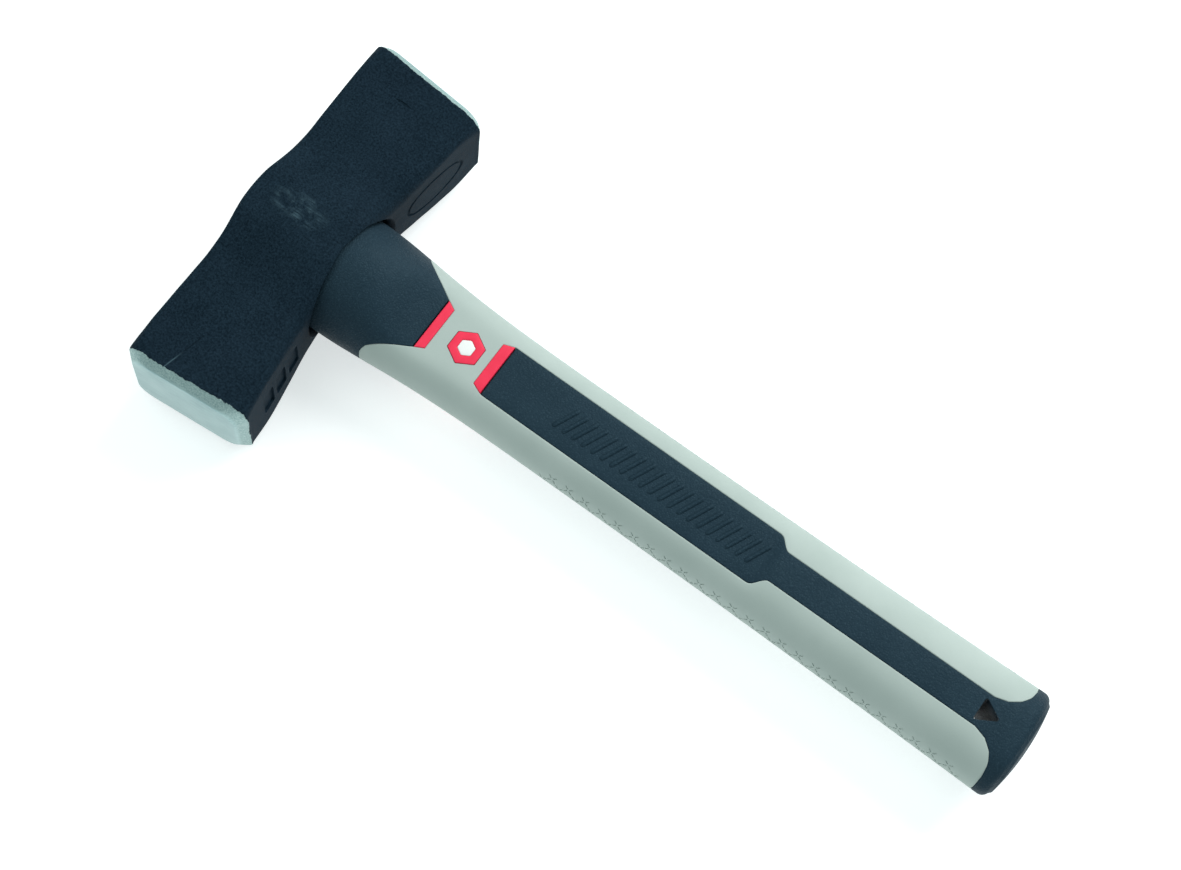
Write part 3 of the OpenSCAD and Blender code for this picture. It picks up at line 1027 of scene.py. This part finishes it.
def makeCrossCutters():
    tree = crossTree()
    cutters = []
    for row in range(-crosses["rowsEachWay"], crosses["rowsEachWay"] + 1):
        points, faces = layOut(tree, "flankCrosses", {
            "Count": crosses["count"] - row % 2, "Pitch": crosses["pitch"], "Arm": crosses["arm"],
            "Gap": crosses["gap"], "Width": crosses["width"], "Depth": crosses["depth"],
            "Above": crosses["above"], "Material": paleRubber})
        points += (crosses["from"] + (crosses["pitch"] / 2 * (row % 2)), row * crosses["rowGap"], 0)
        for side in (-1, 1):
            cutter = addMesh("crossCutter", ontoFlank(points, side), faces)
            turnOut(cutter)
            cutters.append(cutter)
    return cutters


def joined(name, pieces):
    points, faces = [], []
    for piece in pieces:
        start = len(points)
        points += [tuple(v.co) for v in piece.data.vertices]
        faces += [tuple(i + start for i in f.vertices) for f in piece.data.polygons]
        bpy.data.objects.remove(piece)
    mesh = bpy.data.meshes.new(name)
    mesh.from_pydata(points, [], faces)
    piece = bpy.data.objects.new(name, mesh)
    scene.collection.objects.link(piece)
    return piece


# The badge: a plain six-sided plate with a smaller plain one let into it

badge = {
    "middle": 56.6, "flats": 9.6, "inlayFlats": 4.6, "proud": 0.15, "inlayDepth": 0.5, "corner": 0.5,
    "edge": 0.22, "sunk": 1.6, "pocketGap": 0.14, "pocketFrom": 6.0, "pocketTo": 12.0, "centre": 1.0,
    "edgeRound": [(0, 1), (0.13, 0.6), (0.5, 0.15), (1, 0)],        # shares of the edge: inward, down
    "seat": [(0.7, 0), (0.35, 0.03), (0.16, 0.14)],                 # wider than the inlay, and down
    "seatGap": 0.12, "inlayFloorGap": 0.01, "inlayCrown": 0.02,
    "inlayRound": [(0, 0.16), (0.1, 0.05), (0.3, 0)],               # narrower than the inlay, and down
}


def hexagon(flats, corner):
    reach = flats / 2 / math.cos(math.pi / 6)
    return np.array(roundedPolygon((badge["middle"], 0), reach, 6, math.pi / 6, corner))


def plate(name, steps, side):
    rows = []
    for flats, z in steps:
        outline = hexagon(flats, min(badge["corner"], flats / 9))
        rows.append(np.column_stack([outline, np.full(len(outline), z)]))
    return tube(name, np.array(rows) * (1, 1, side))


def badgeSteps(top):
    wide, narrow, edge = badge["flats"], badge["inlayFlats"], badge["edge"]
    seatFloor = top - badge["inlayDepth"]
    steps = [(wide, handle["wideFlat"] - badge["sunk"])]
    steps += [(wide - 2 * edge * inward, top - edge * down) for inward, down in badge["edgeRound"]]
    steps += [(narrow + wider, top - down) for wider, down in badge["seat"]]
    return steps + [(narrow + badge["seatGap"], seatFloor), (badge["centre"], seatFloor)]


def inlaySteps(top):
    flats = badge["inlayFlats"]
    steps = [(flats, top - badge["inlayDepth"] + badge["inlayFloorGap"])]
    steps += [(flats - narrower, top - down) for narrower, down in badge["inlayRound"]]
    return steps + [(badge["centre"], top + badge["inlayCrown"])]


def makeBadges():
    top = handle["wideFlat"] + badge["proud"]
    for label, side in (("Front", 1), ("Rear", -1)):
        body = plate("badge" + label, badgeSteps(top), side)
        finishPiece(body, redPlastic, "red_plastic", "badge_" + label.lower())
        inlay = plate("badgeInlay" + label, inlaySteps(top), side)
        finishPiece(inlay, whitePlastic, "white_plastic", "badge_inlay_" + label.lower())


# The handle's pieces, carved and put together

jacketPiece = carveHole(makeJacket())
jacketPiece = carve(jacketPiece, stadiumPrism("coreCutter", jacket["coreLength"], jacket["coreWidth"],
                                              [(jacket["coreFrom"], 0), (jacket["coreEnd"], 0)]))
jacketPiece = joined("handleJacket", [jacketPiece, *makeRibs()])
finishPiece(jacketPiece, darkPlastic, "dark_plastic", "handle_jacket")

grip = shellFrom("softGrip", gripMask, handle["skin"])
turnOut(grip)
grip = carve(grip, joined("crossCutters", makeCrossCutters()))
for level in (1, -1):
    flats = badge["flats"] + 2 * badge["pocketGap"]
    pocket = [(flats, badge["pocketFrom"] * level), (flats, badge["pocketTo"] * level)]
    grip = carve(grip, plate("badgePocket", pocket, 1))
finishPiece(grip, paleRubber, "pale_rubber", "soft_grip")

bars = {"thickness": 1.5, "proud": 0.12}
for label, only in (("Front", frontOnly), ("Rear", rearOnly)):
    for name, node, start, end in (("neckBar", "neck_bar_", neckGap[1], neckBarTo),
                                   ("panelBar", "panel_bar_", panelBarFrom, panelGap[0])):
        bar = shellFrom(name + label, only & between(start, end), bars["thickness"], bars["proud"])
        turnOut(bar)
        finishPiece(bar, redPlastic, "red_plastic", node + label.lower())

makeBadges()


# The head

head = {
    "topAtNeck": 18.5, "crownRise": 1.4, "crownLength": 36.4, "endFlare": 0.9,
    "cheek": 16.5, "bossRise": 5.0, "bossLength": 52, "bossLand": 12,
    "sideMarks": [(0, 14.0), (14, 14.35), (22, 15.7), (40, 18.1), (60, 20.6)],
    "cornerMarks": [(0, 4.0), (12, 5.5), (22, 6.4), (32, 4.2), (42, 2.6), (49, 1.6), (57, 5.2), (60, 5.6)],
    "topCornerMarks": [(0, 1.3), (49, 1.3), (57, 4.4), (60, 4.8)],
    "bevel": 2.9, "bevelDepth": 2.75, "plusBevel": 0.68, "crown": 0.45, "faceCorner": 3.2,
    "waviness": 0.16,
    "mouth": 19.75, "mouthTall": 1.03, "mouthFloor": 9.5,
    "mouthFoot": [(0, -0.6), (0.3, -0.15), (0.8, 0)],               # above its floor, and wider than it
    "mouthLip": [(12.4, 0), (13.4, 0.1), (14.2, 0.35), (14.9, 0.75), (15.5, 1.3), (15.9, 1.9),
                 (16.2, 2.7), (40, 40)],
    "eyeLength": 31, "eyeWidth": 21, "eyeTo": 11,
    "eyeLip": [(-6, 6.0), (-0.2, 1.1), (0.15, 0.65), (0.6, 0.3), (1.2, 0.08), (1.8, 0)],
    "outerEdge": [(0.0, 0.3), (0.035, 0.12), (0.12, -0.06), (0.32, -0.26)],     # inset and depth
    "bevelShares": (0.35, 0.7),
    "innerEdge": [(-0.3, 0.26), (-0.1, 0.1), (0.12, 0.01), (0.4, -0.04)],       # past the bevel, and depth
    "faceShares": (0.97, 0.92, 0.84, 0.74, 0.62, 0.48, 0.34, 0.2, 0.08), "faceCrown": 0.92,
    "rowsEachHalf": 72,
}
sectionSteps = {"side": 22, "corner": 8, "cheek": 30, "topCorner": 4, "top": 18}


def topOfHead(y):
    crown = hump(y, head["crownLength"], head["crownRise"])
    return -head["topAtNeck"] - crown - head["endFlare"] * (np.abs(y) / halfLength) ** 2


def cheekHeight(y):
    full = head["bossRise"] * 2 / (1 + math.cos(math.pi * head["bossLand"] / head["bossLength"]))
    return head["cheek"] + softMin(hump(y, head["bossLength"], full), head["bossRise"], 7)


def smoothInterp(y, marks):
    xs, values = np.array(marks, float).T
    samples = np.abs(y)[..., None] + np.linspace(-4, 4, 9)
    return np.interp(np.abs(samples), xs, values).mean(-1)


def headSection(y, inset):
    side = float(smoothInterp(np.array(y), head["sideMarks"])) - inset
    top = float(topOfHead(np.array(y))) + inset
    cheek = float(cheekHeight(np.array(float(y)))) - inset
    grown = inset / head["bevel"] * head["faceCorner"]
    low = max(float(smoothInterp(np.array(y), head["cornerMarks"])) - inset, 0) + grown
    high = max(float(smoothInterp(np.array(y), head["topCornerMarks"])) - inset, 0) + grown
    low, high = max(low, 0.3), max(high, 0.3)

    def arc(x, z, radius, start, steps):
        for i in range(steps):
            a = math.radians(start + 90 * i / steps)
            yield x + radius * math.cos(a), z + radius * math.sin(a)

    def line(x0, z0, x1, z1, steps):
        for i in range(steps):
            yield x0 + (x1 - x0) * i / steps, z0 + (z1 - z0) * i / steps

    n = sectionSteps
    ring = []
    ring += line(side, -(cheek - low), side, cheek - low, n["side"])
    ring += arc(side - low, cheek - low, low, 0, n["corner"])
    ring += line(side - low, cheek, top + high, cheek, n["cheek"])
    ring += arc(top + high, cheek - high, high, 90, n["topCorner"])
    ring += line(top, cheek - high, top, -(cheek - high), n["top"])
    ring += arc(top + high, -(cheek - high), high, 180, n["topCorner"])
    ring += line(top + high, -cheek, side - low, -cheek, n["cheek"])
    ring += arc(side - low, -(cheek - low), low, 270, n["corner"])
    return np.array(ring)


def headRow(y, inset, depth, shrink=1.0):
    ring = headSection(y, inset)
    middle = np.array([(ring[:, 0].max() + ring[:, 0].min()) / 2, 0])
    ring = middle + (ring - middle) * shrink
    share = (halfLength - depth) / halfLength
    reach = share * (halfLength - faceLean * ring[:, 0])
    return np.column_stack([ring[:, 0], reach, ring[:, 1]])


# The rows over the bevel and the face at one end; share is how much of the bevel that end has
def endRows(share):
    bevel, back, crown = head["bevel"] * share, head["bevelDepth"] * share, head["crown"]
    steps = [(inset, crown + back + depth) for inset, depth in head["outerEdge"]]
    steps += [(bevel * part, crown + back * (1 - part)) for part in head["bevelShares"]]
    steps += [(bevel + inset, crown + depth) for inset, depth in head["innerEdge"]]
    rows = [headRow(halfLength, inset, depth) for inset, depth in steps]
    faceInset = bevel + head["innerEdge"][-1][0]
    for shrink in head["faceShares"]:
        rows.append(headRow(halfLength, faceInset, crown * shrink ** 2 * head["faceCrown"], shrink))
    return rows


def halfHead(share):
    edgeDepth = head["outerEdge"][0][1]
    last = halfLength - (head["crown"] + head["bevelDepth"] * share + edgeDepth)
    inner = np.linspace(0, last - 0.8, head["rowsEachHalf"])[1:]
    return [headRow(y, 0.0, halfLength - y) for y in inner] + endRows(share)


def makeHead():
    plus = halfHead(head["plusBevel"])
    # mirrored across the handle's axis, so that the faces lean towards the handle at both ends
    minus = [row * (1, -1, 1) for row in reversed(halfHead(1.0))]
    rows = np.array(minus + [headRow(0.0, 0.0, halfLength)] + plus)
    # the forging's waviness dies out before the ground ends
    fade = 1 - smoothStep(np.abs(rows[..., 1]), halfLength - 9, halfLength - 4)
    for i in range(rows.shape[0]):
        for j in range(rows.shape[1]):
            if fade[i, j] > 0:
                p = Vector(rows[i, j])
                swell = noise.noise(p / 15 + Vector((3.1, 7.7, 1.3))) + 0.35 * noise.noise(p / 5)
                away = Vector((rows[i, j, 0], 0, rows[i, j, 2])).normalized()
                rows[i, j] += np.array(away) * (swell * head["waviness"] - 0.08) * fade[i, j]
    return tube("hammerHead", rows)


def mouthCutter(around=120):
    angle = np.linspace(0, 2 * np.pi, around + 1)[:-1]
    profile = [(head["mouthFloor"] + x, head["mouth"] + wider) for x, wider in head["mouthFoot"]]
    profile += [(x, head["mouth"] + wider) for x, wider in head["mouthLip"]]
    rows = []
    for x, radius in profile:
        tall = head["mouthTall"] * radius
        rows.append(np.stack([np.full_like(angle, x), radius * np.cos(angle), tall * np.sin(angle)], -1))
    return tube("mouthCutter", np.array(rows))


def carveHead(piece):
    carve(piece, mouthCutter())
    top = float(topOfHead(np.array(0.0)))
    stations = [(top + x, spread) for x, spread in head["eyeLip"]] + [(head["eyeTo"], 0)]
    carve(piece, stadiumPrism("eyeCutter", head["eyeLength"], head["eyeWidth"], stations))
    return piece


# Blank marks let into the handle side: an oval line towards one face, plain panels towards the other
blankMarks = {
    "ovalMiddle": 37.5, "ovalLength": 22.5, "ovalHeight": 14.0, "lineWidth": 1.2, "lineDepth": 0.45,
    "panels": [-30.2, -37.2, -44.0], "panelLength": 5.2, "panelHeight": 12.0, "panelDepth": 0.7,
    "panelCorner": 0.8, "panelFlare": 0.12,
    "dentFrom": -4.6, "dentTo": 1.6, "dentAt": 47.7, "dentWidth": 1.3, "dentDepth": 0.6,
}


def ontoSide(points):
    y, z, depth = np.asarray(points, float).T
    return np.column_stack([smoothInterp(y, head["sideMarks"]) + depth, y, z])


def panelCutter(middle):
    corner, steps = blankMarks["panelCorner"], 4
    outline = []
    for turn in range(4):
        a = math.pi / 2 * turn
        cornerY = middle + (blankMarks["panelLength"] / 2 - corner) * (1 if turn in (0, 3) else -1)
        cornerZ = (blankMarks["panelHeight"] / 2 - corner) * (1 if turn < 2 else -1)
        for step in range(steps + 1):
            b = a + math.pi / 2 * step / steps
            outline.append((cornerY + corner * math.cos(b), cornerZ + corner * math.sin(b)))
    deep, flare = blankMarks["panelDepth"], blankMarks["panelFlare"]
    rows = []
    for depth, spread in ((-deep, -flare), (-deep * 0.6, 0), (0.2, flare), (3, flare)):
        away = np.array(outline) - (middle, 0)
        away *= 1 + spread / np.linalg.norm(away, axis=1, keepdims=True)
        rows.append(ontoSide(np.column_stack([away + (middle, 0), np.full(len(outline), depth)])))
    return tube("panelCutter", np.array(rows))


def ovalCutter():
    around, section = 72, 12
    points = []
    for i in range(around):
        a = 2 * math.pi * i / around
        for j in range(section):
            b = 2 * math.pi * j / section
            out = blankMarks["lineWidth"] / 2 * math.cos(b)
            y = blankMarks["ovalMiddle"] + (blankMarks["ovalLength"] / 2 + out) * math.cos(a)
            z = (blankMarks["ovalHeight"] / 2 + out) * math.sin(a)
            points.append((y, z, blankMarks["lineDepth"] * math.sin(b)))
    faces = []
    for i in range(around):
        for j in range(section):
            n, m = (i + 1) % around, (j + 1) % section
            faces.append((i * section + j, n * section + j, n * section + m, i * section + m))
    piece = addMesh("ovalCutter", ontoSide(points), faces)
    turnOut(piece)
    return piece


def dentCutter():
    angle = np.linspace(0, 2 * np.pi, 17)[:-1]
    start, end = blankMarks["dentFrom"], blankMarks["dentTo"]
    rows = []
    for share in np.linspace(-1, 1, 15):
        full = max(1 - share ** 2, 0.02) ** 0.6
        x = (start + end) / 2 + share * (end - start) / 2
        wide, deep = blankMarks["dentWidth"] / 2 * full, blankMarks["dentDepth"] * full
        rows.append(np.column_stack([np.full(len(angle), x), blankMarks["dentAt"] + wide * np.cos(angle),
                                     head["cheek"] + deep * np.sin(angle)]))
    return tube("dentCutter", np.array(rows))


hammerHead = carveHead(makeHead())
carve(hammerHead, ovalCutter())
for middle in blankMarks["panels"]:
    carve(hammerHead, panelCutter(middle))
carve(hammerHead, dentCutter())
finishPiece(hammerHead, paintedSteel, "forged_steel", "hammer_head", sharpAngle=38)

for node, material in (("eye_bond", epoxyBond), ("fibre_core", glassFibre)):
    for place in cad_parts[node].material_slots:
        place.material = material
